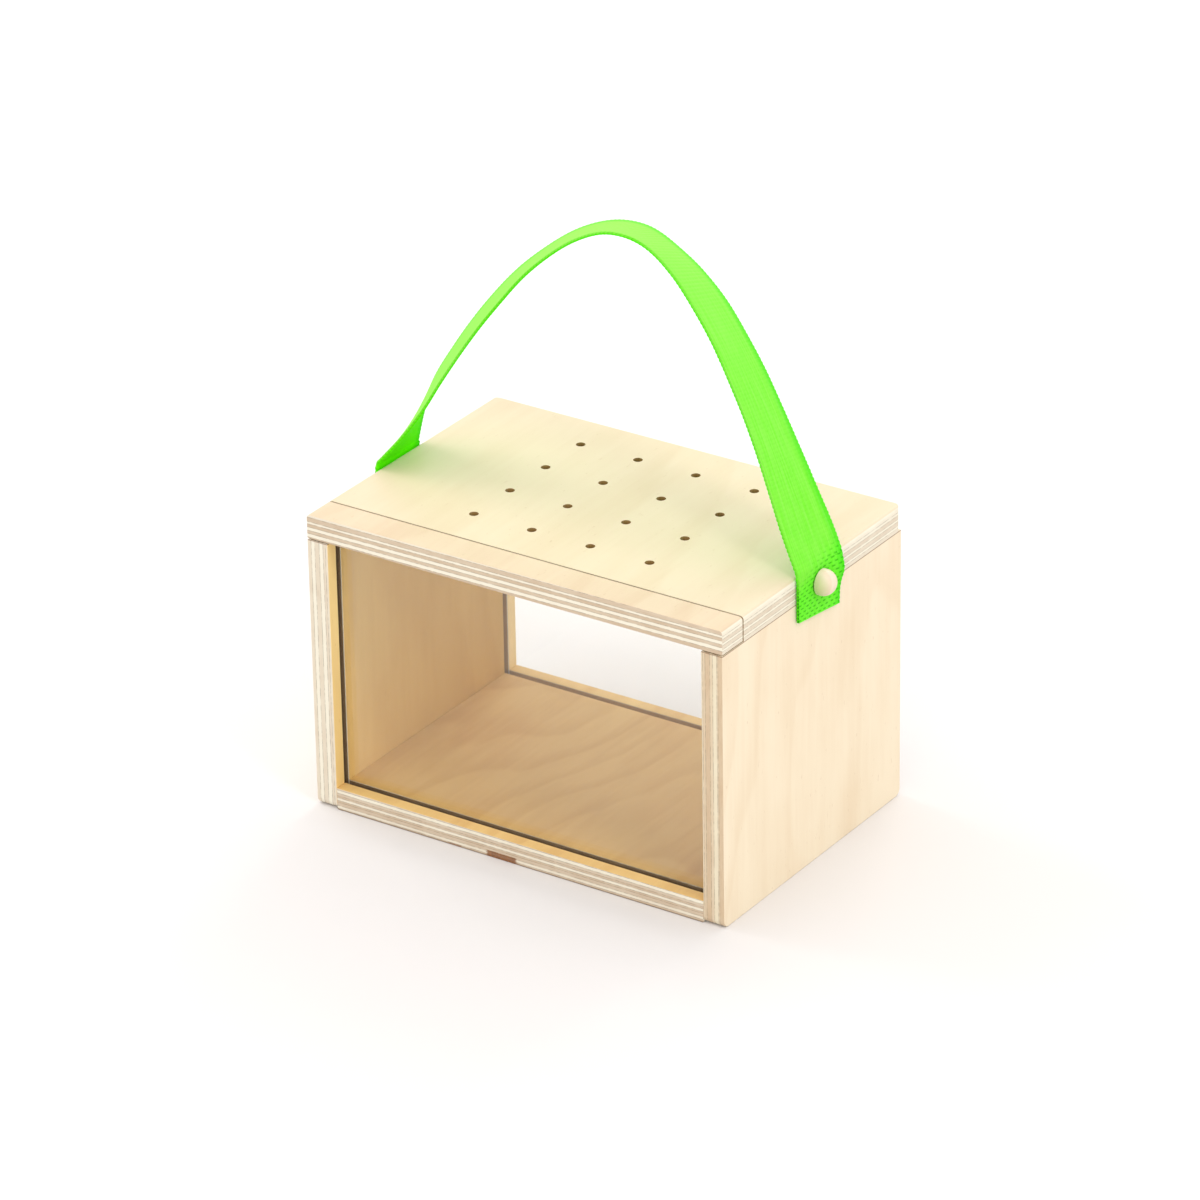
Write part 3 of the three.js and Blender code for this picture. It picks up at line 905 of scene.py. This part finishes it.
def make_top():
    low, high = top_low, top_high
    piece = lid_blank("top_panel", low, high, corner_radius)
    reach = peg_high.x
    peg_inner = peg_low.x - peg_fit
    bore = circle((peg_centre.y, peg_centre.z), shank_diameter / 2 + peg_fit, 48)
    combined(piece, [
        pane_groove(back_pane_low, back_pane_high, low.z - overrun, back_pane_high.z + groove_fit),
        prism("cutter", bore, peg_inner, reach, "YZX"),
        prism("cutter", bore, -reach, -peg_inner, "YZX"),
    ], "DIFFERENCE")
    material = plywood("Birch plywood, top", low, high, "Z", "Y", lid_layers, 9.0, top_veneer, 0.45, 0.6,
                       cut_wood_and_shade_tones=drilled_tones)
    run_tree(piece, perforation_tree(), Hole_diameter=hole_diameter, Pitch_X=hole_pitch_x,
             Pitch_Y=hole_pitch_y, Columns=hole_columns, Rows=hole_rows, Centre=(low + high) / 2,
             Drill_length=high.z - low.z + overrun, Material=material)
    eased(piece)
    mark_cuts(piece, low, high, low.y)
    return dressed(piece, material, "box", "top_board")


def make_bar():
    low, high = bar_low.copy(), bar_high
    low.z += bar_lift_gap
    piece = lid_blank("lift_bar_rail", low, high, 0)
    combined(piece, [
        pane_groove(front_pane_low, front_pane_high, low.z - overrun, front_pane_high.z + groove_fit),
    ], "DIFFERENCE")
    eased(piece)
    mark_cuts(piece, low, high, high.y)
    material = plywood("Birch plywood, bar", low, high, "Z", "Y", lid_layers, 12.0, bar_veneer, 0.5, 0.8,
                       cut_wood_and_shade_tones=drilled_tones, slope=bar_slope)
    return dressed(piece, material, "door", "lift_bar")


def make_pane(name, node, body, material):
    low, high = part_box(node)
    corner = 1 * MM
    piece = prism(name, outline(low.x, high.x, low.z, high.z, (corner, corner, corner, corner)),
                  low.y, high.y, "XZY")
    eased(piece, 0.15 * MM, 2)
    return dressed(piece, material, body, node)


def make_peg(side):
    node = "strap_peg_right" if side > 0 else "strap_peg_left"
    low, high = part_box(node)
    inner, outer = (low.x, high.x) if side > 0 else (-high.x, -low.x)
    head_radius = (high.y - low.y) / 2
    seat = side_high.x + 2 * strap_fit + strap_thick
    shank = shank_diameter / 2
    profile = [(inner, 0), (inner, shank - eased_edge), (inner + eased_edge, shank), (seat, shank),
               (seat, head_radius - eased_edge), (seat + eased_edge, head_radius)]
    dome = outer - seat - head_rim
    steps = 14
    for step in range(steps + 1):
        angle = math.pi / 2 * step / steps
        profile.append((seat + head_rim + dome * math.sin(angle), head_radius * math.cos(angle)))
    turns = 64
    mesh = bmesh.new()
    rings = []
    for x, radius in profile:
        if radius < 0.01 * MM:
            rings.append([mesh.verts.new((side * x, peg_centre.y, peg_centre.z))] * turns)
            continue
        around = circle((peg_centre.y, peg_centre.z), radius, turns)
        rings.append([mesh.verts.new((side * x, y, z)) for y, z in around])
    for before, after in zip(rings, rings[1:]):
        for turn in range(turns):
            following = (turn + 1) % turns
            corners = []
            for corner in (before[turn], before[following], after[following], after[turn]):
                if corner not in corners:
                    corners.append(corner)
            mesh.faces.new(corners)
    piece = finished(node + "_turned", mesh)
    piece.data.set_sharp_from_angle(angle=math.radians(35))
    piece.data.shade_smooth()
    material = turned_wood(f"Turned wood, {node}", 20.0 + side, peg_tones, peg_front)
    return dressed(piece, material, "box", node)


# Strap

strap_x = side_high.x + strap_fit + strap_thick / 2
arch_foot = top_high.z + arch_above_top
tab_end = peg_centre.z - tab_below_peg


def setback(x, z):
    """How far back the strap's middle line lies: upright by the pegs, leaning and bowed above them, and a
    little skewed."""
    by_peg = strap_skew * x / strap_x + (z - peg_centre.z) * math.tan(tab_lean)
    above = np.maximum(z - arch_foot, 0)
    return by_peg + above * math.tan(strap_lean) + arch_bow * (above / arch_rise) ** 2


def strap_line(spacing):
    """Points evenly along the strap's middle line, and each one's share of the arch."""
    share = np.linspace(0, 1, 4001)
    across = -np.cos(share * math.pi)
    height = 1 - np.abs(across) ** arch_roundness
    arch_x = strap_x * across + arch_sideways * height
    arch_z = arch_foot + arch_rise * height
    above = arch_z > arch_foot + foot_bend
    arch_x, arch_z = arch_x[above], arch_z[above]
    low = arch_foot - foot_bend
    bend = np.linspace(0, 1, 61)[:-1, None]

    def foot(side, end):
        start, middle = np.array([side * strap_x, low]), np.array([side * strap_x, arch_foot])
        return (1 - bend) ** 2 * start + 2 * bend * (1 - bend) * middle + bend ** 2 * np.array(end)

    left_foot = foot(-1, (arch_x[0], arch_z[0]))
    right_foot = foot(1, (arch_x[-1], arch_z[-1]))[::-1]
    line = np.vstack([
        [(-strap_x, tab_end)], left_foot, np.column_stack([arch_x, arch_z]), right_foot,
        [(strap_x, tab_end)],
    ])
    points = np.column_stack([line[:, 0], setback(line[:, 0], line[:, 1]), line[:, 1]])
    lengths = np.concatenate([[0], np.cumsum(np.linalg.norm(np.diff(points, axis=0), axis=1))])
    count = int(round(lengths[-1] / spacing))
    even = np.linspace(0, lengths[-1], count + 1)
    points = np.column_stack([np.interp(even, lengths, points[:, i]) for i in range(3)])
    arch_start = np.interp(arch_foot, points[: count // 2, 2], even[: count // 2])
    arch_end = lengths[-1] - np.interp(arch_foot, points[::-1][: count // 2, 2], even[: count // 2])
    return points, even, np.clip((even - arch_start) / (arch_end - arch_start), 0, 1)


def twist_at(share):
    """Turn of the strap's width about its length: a smooth curve through the turns at the twentieths."""
    turns = np.radians(twist_degrees)
    last = len(turns) - 1
    place = share * last
    i = np.minimum(place.astype(int), last - 1)
    part = place - i
    start, end = turns[i], turns[i + 1]
    leaving = np.where(i > 0, (end - turns[np.maximum(i - 1, 0)]) / 2, end - start)
    arriving = (turns[np.minimum(i + 2, last)] - start) / 2
    curve = (2 * start - 2 * end + leaving + arriving) * part
    curve += -3 * start + 3 * end - 2 * leaving - arriving
    return (curve * part + leaving) * part + start


def strap_frames(points, share):
    """The directions along the strap, across it, and out of its face at each point."""
    along = np.gradient(points, axis=0)
    along /= np.linalg.norm(along, axis=1)[:, None]
    flat = np.array([0, 1, 0]) - along[:, 1:2] * along
    flat /= np.linalg.norm(flat, axis=1)[:, None]
    outward = np.cross(along, flat)
    turn = twist_at(share)[:, None]
    across = np.cos(turn) * flat + np.sin(turn) * outward
    return along, across, np.cross(along, across)


def ribbed_webbing_tree():
    """Sweeps a flat, round-edged section along a line, gives it ribs and selvedge loops, and punches it for
    the pegs. Each point of the line has its directions, its distance along the strap, how much its section
    slants, and how far its rear edge curls outwards."""
    tree, given, result = new_group(
        "Ribbed webbing",
        [("Geometry", "Geometry"), "Width", "Thickness", "Edge radius", "Rib pitch", "Rib relief",
         "Loop pitch", "Loop relief", "Hole diameter", ("Hole centre", "Vector"), "Punch length",
         ("Material", "Material")],
        [("Geometry", "Geometry")],
        "GeometryNodeTree",
    )
    tree.is_modifier = True

    def named(name, kind="FLOAT_VECTOR"):
        node = add(tree, "GeometryNodeInputNamedAttribute", {"data_type": kind}, Name=name)
        return node.outputs["Attribute"]

    def stored(geometry, name, value, kind="FLOAT"):
        node = add(tree, "GeometryNodeStoreNamedAttribute", {"data_type": kind}, Geometry=geometry,
                   Name=name, Value=value)
        return node.outputs["Geometry"]

    line = add(tree, "GeometryNodeMeshToCurve", Mesh=given["Geometry"]).outputs["Curve"]
    line = add(tree, "GeometryNodeSetCurveNormal", {"mode": "FREE"}, Curve=line, Normal=named("across"))

    section = add(tree, "GeometryNodeCurvePrimitiveQuadrilateral", Width=given["Width"],
                  Height=given["Thickness"])
    section = add(tree, "GeometryNodeFilletCurve", {"mode": "POLY"}, Curve=section.outputs["Curve"], Count=4,
                  Radius=given["Edge radius"])
    point = tree.nodes.new("GeometryNodeInputPosition").outputs[0]
    place = add(tree, "ShaderNodeSeparateXYZ", Vector=point).outputs
    face = times_plus(tree, given["Thickness"], 0.5, -0.01 * MM)
    on_face = calc(tree, "GREATER_THAN", calc(tree, "ABSOLUTE", place["Y"]), face)
    starts_face = calc(tree, "GREATER_THAN", times(tree, place["X"], place["Y"]), 0.0)
    cuts = times(tree, times(tree, on_face, starts_face), 14.0)
    section = add(tree, "GeometryNodeSubdivideCurve", Curve=section.outputs["Curve"], Cuts=cuts)
    section = stored(section.outputs["Curve"], "section_x", place["X"])
    section = stored(section, "section_y", place["Y"])
    swept = add(tree, "GeometryNodeCurveToMesh", Curve=line.outputs["Curve"], Profile_Curve=section,
                Fill_Caps=True)

    along = named("distance", "FLOAT")
    x, y = named("section_x", "FLOAT"), named("section_y", "FLOAT")
    rib = calc(tree, "ABSOLUTE", ripple(tree, along, given["Rib pitch"], math.pi))
    sink = times(tree, calc(tree, "SUBTRACT", rib, 1.0), given["Rib relief"])
    sink = times(tree, sink, calc(tree, "SIGN", y))
    loop = ripple(tree, along, given["Loop pitch"], 2 * math.pi)
    loop = times(tree, smooth(tree, loop, -0.6, 0.4), given["Loop relief"])
    inset = calc(tree, "SUBTRACT", times(tree, given["Width"], 0.5), calc(tree, "ABSOLUTE", x))
    at_edge = calc(tree, "LESS_THAN", inset, given["Edge radius"])
    jut = times(tree, times(tree, loop, at_edge), calc(tree, "SIGN", x))
    slant = times(tree, x, named("slant", "FLOAT"))
    rear = smooth(tree, calc(tree, "DIVIDE", x, given["Width"]), 0.12, 0.5)
    curl = times(tree, rear, named("curl", "FLOAT"))
    moved = scaled(tree, named("out"), sink)
    for direction, distance in (("across", jut), ("tangent", slant), ("out", curl)):
        moved = vector_calc(tree, "ADD", moved, scaled(tree, named(direction), distance))
    shaped = add(tree, "GeometryNodeSetPosition", Geometry=swept.outputs["Mesh"], Offset=moved)
    woven = add(tree, "ShaderNodeCombineXYZ", X=x, Y=along, Z=y).outputs[0]
    shaped = stored(shaped.outputs["Geometry"], "weave", scaled(tree, woven, 1 / MM), "FLOAT_VECTOR")

    punch = add(tree, "GeometryNodeMeshCylinder", Vertices=48, Depth=given["Punch length"],
                Radius=times(tree, given["Hole diameter"], 0.5))
    punch = add(tree, "GeometryNodeTransform", Geometry=punch.outputs["Mesh"],
                Translation=given["Hole centre"], Rotation=(0, math.pi / 2, 0))
    cut = less(tree, shaped, punch.outputs["Geometry"], "MANIFOLD")
    real = add(tree, "GeometryNodeRealizeInstances", Geometry=cut).outputs["Geometry"]
    coloured = add(tree, "GeometryNodeSetMaterial", Geometry=real, Material=given["Material"])
    put(tree, result["Geometry"], coloured.outputs["Geometry"])
    return tree


def strap_guide():
    """The strap's middle line as a mesh of edges, with the directions and distances that the tree reads, and
    its length."""
    points, lengths, share = strap_line(rib_pitch / steps_per_rib)
    along, across, out = strap_frames(points, share)
    mesh = bpy.data.meshes.new("webbing_strap")
    mesh.from_pydata(points.tolist(), [(i, i + 1) for i in range(len(points) - 1)], [])
    from_right = lengths[-1] - lengths
    slant = np.clip(1 - from_right / end_reach, 0, 1) - np.clip(1 - lengths / end_reach, 0, 1)
    curl = curl_height * np.exp(-(((from_right - curl_from_end) / curl_reach) ** 2))
    curl += bulge_height * np.exp(-(((from_right - bulge_from_end) / bulge_reach) ** 2))
    numbers = {"distance": lengths, "slant": end_slant * slant, "curl": curl}
    directions = {"across": across, "out": out, "tangent": along}
    for name, values in numbers.items():
        mesh.attributes.new(name, "FLOAT", "POINT").data.foreach_set("value", values)
    for name, values in directions.items():
        mesh.attributes.new(name, "FLOAT_VECTOR", "POINT").data.foreach_set("vector", values.reshape(-1))
    return object_of("webbing_strap", mesh), float(lengths[-1])


def make_strap():
    guide, length = strap_guide()
    material = green_webbing("Green webbing", length)
    piece = run_tree(guide, ribbed_webbing_tree(), Width=strap_width, Thickness=strap_thick,
                     Edge_radius=selvedge_radius, Rib_pitch=rib_pitch, Rib_relief=rib_relief,
                     Loop_pitch=loop_pitch, Loop_relief=loop_relief,
                     Hole_diameter=shank_diameter + 2 * peg_fit, Hole_centre=peg_centre,
                     Punch_length=2 * (strap_x + strap_width), Material=material)
    piece.data.shade_smooth()
    return dressed(piece, material, "strap", "carry_strap")


# Surroundings

def make_floor():
    size = 6.0
    mesh = bmesh.new()
    bmesh.ops.create_grid(mesh, x_segments=1, y_segments=1, size=size / 2)
    data = bpy.data.meshes.new("floor")
    mesh.to_mesh(data)
    mesh.free()
    floor = object_of("floor", data)
    data.materials.append(pale_floor())


def make_camera():
    """The photograph's view: a long lens from the front right, well above the box."""
    outward = math.cos(camera_elevation)
    toward = Vector((math.sin(camera_azimuth) * outward, -math.cos(camera_azimuth) * outward,
                     math.sin(camera_elevation)))
    data = bpy.data.cameras.new("camera")
    data.sensor_width = 36
    data.lens = camera_lens
    camera = object_of("camera", data)
    place = Matrix.Translation(camera_target + toward * camera_distance)
    aim = Euler((math.pi / 2 - camera_elevation, 0, camera_azimuth)).to_matrix().to_4x4()
    camera.matrix_world = place @ aim @ Matrix.Rotation(camera_roll, 4, "Z")
    bpy.context.scene.camera = camera


def make_lamp(name, place, size, power):
    data = bpy.data.lights.new(name, "AREA")
    data.shape = "SQUARE"
    data.size = size
    data.energy = power
    lamp = object_of(name, data)
    aim = lamp_target - Vector(place)
    lamp.matrix_world = Matrix.Translation(place) @ aim.to_track_quat("-Z", "Y").to_matrix().to_4x4()


def make_light():
    """A white room, with soft lamps at the right, at the left, behind, and low in front."""
    world = bpy.data.worlds.new("white room")
    world.use_nodes = True
    background = world.node_tree.nodes["Background"]
    background.inputs["Color"].default_value = (1, 1, 1, 1)
    background.inputs["Strength"].default_value = room_brightness
    bpy.context.scene.world = world
    for lamp in lamps:
        make_lamp(*lamp)
    bpy.context.scene.view_settings.view_transform = "Standard"


make_camera()
make_light()
make_floor()

acrylic = clear_acrylic("Clear acrylic")
make_side(-1)
make_side(1)
make_base()
make_top()
make_bar()
make_pane("front_window", "front_pane", "door", acrylic)
make_pane("back_window", "back_pane", "box", acrylic)
make_peg(-1)
make_peg(1)
make_strap()

dowel_wood = turned_wood("Dowel wood", 30.0, dowel_tones)
for name, node in frame["nodes"].items():
    if "dowel" in name:
        node.data.materials.clear()
        node.data.materials.append(dowel_wood)
